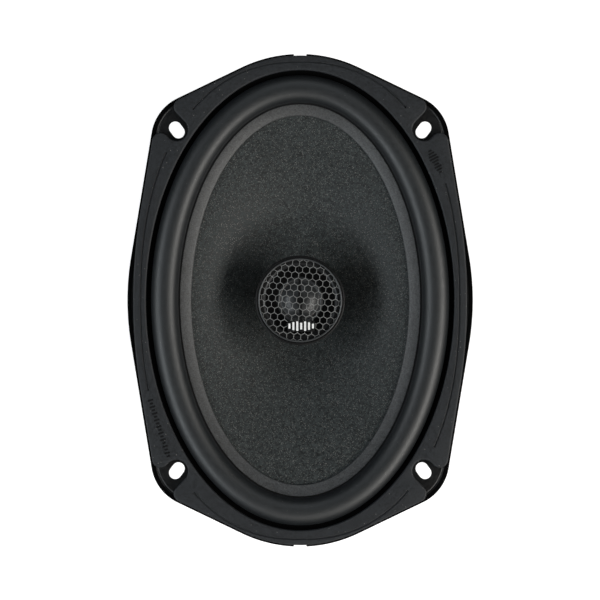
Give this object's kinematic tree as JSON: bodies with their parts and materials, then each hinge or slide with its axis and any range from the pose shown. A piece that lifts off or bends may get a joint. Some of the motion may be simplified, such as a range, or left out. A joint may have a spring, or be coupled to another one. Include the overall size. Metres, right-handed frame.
{
  "type": "coaxial car loudspeaker",
  "caption": "Oval two-way car speaker: a long cone on a rubber surround in a pressed basket with a ring magnet, and a dome tweeter behind a hex grille on a post in its middle.",
  "frame": {"origin": "middle of the motor's flat rear face, on the speaker's axis", "axes": "+Z along the axis towards the listener, +Y along the oval's long axis, +X towards the terminals"},
  "size_m": [0.164, 0.2336, 0.083],
  "materials": {
    "painted_steel": "satin black coating",
    "trim_plastic": "fine matte grain",
    "rubber": "smooth, slightly shiny",
    "cone_plastic": "fine mineral-filled grain",
    "cloth": "resin-treated cloth",
    "film": "heat-resistant film",
    "copper": "enamelled copper wire",
    "zinc": "zinc plate",
    "ferrite": "ground sintered ferrite",
    "black_plastic": "satin moulding",
    "silk": "coated silk",
    "grille_steel": "dark satin coating",
    "badge": "printed white",
    "board": "laminated board",
    "brass": "tinned brass",
    "red_sleeve": "flexible sleeve",
    "black_sleeve": "flexible sleeve",
    "capacitor_sleeve": "shrink sleeve",
    "tinsel": "braided tinsel"
  },
  "bodies": {
    "frame": {"basket": "painted_steel", "trim_ring": "trim_plastic", "surround": "rubber", "spider": "cloth", "t_yoke": "zinc", "ring_magnet": "ferrite", "front_plate": "zinc", "tweeter_post": "zinc", "post_washer": "zinc", "post_nut": "zinc", "tweeter_cup": "black_plastic", "tweeter_pot": "zinc", "tweeter_magnet": "zinc", "tweeter_pole_disc": "zinc", "tweeter_suspension": "silk", "tweeter_faceplate": "black_plastic", "dome_guard": "black_plastic", "grille_rim": "grille_steel", "tweeter_grille": "grille_steel", "grille_badge": "badge", "terminal_board": "board", "positive_terminal_tab": "brass", "negative_terminal_tab": "brass", "terminal_eyelet_1": "brass", "terminal_eyelet_2": "brass", "board_rivet_1": "zinc", "board_rivet_2": "zinc", "crossover_capacitor": "capacitor_sleeve", "tweeter_lead_positive": "red_sleeve", "tweeter_lead_negative": "black_sleeve", "capacitor_lead": "tinsel", "tinsel_lead_positive": "tinsel", "tinsel_lead_negative": "tinsel", "basket_rivet_1": "zinc", "basket_rivet_2": "zinc", "basket_rivet_3": "zinc", "basket_rivet_4": "zinc"},
    "cone": {"cone": "cone_plastic", "voice_coil_former": "film", "voice_coil_winding": "copper", "dust_seal": "cloth"},
    "tweeter_dome": {"tweeter_dome": "silk", "tweeter_coil": "copper"}
  },
  "joints": [
    {"name": "cone_travel", "type": "slide", "parent": "frame", "child": "cone", "axis": [0, 0, 1], "range_m": [-0.004, 0.004], "stiffness_N_per_m": 2500, "deforming": ["surround", "spider", "tinsel_lead_positive", "tinsel_lead_negative"]},
    {"name": "tweeter_dome_travel", "type": "slide", "parent": "frame", "child": "tweeter_dome", "axis": [0, 0, 1], "range_m": [-0.0003, 0.0003], "stiffness_N_per_m": 100, "deforming": ["tweeter_suspension"]}
  ]
}
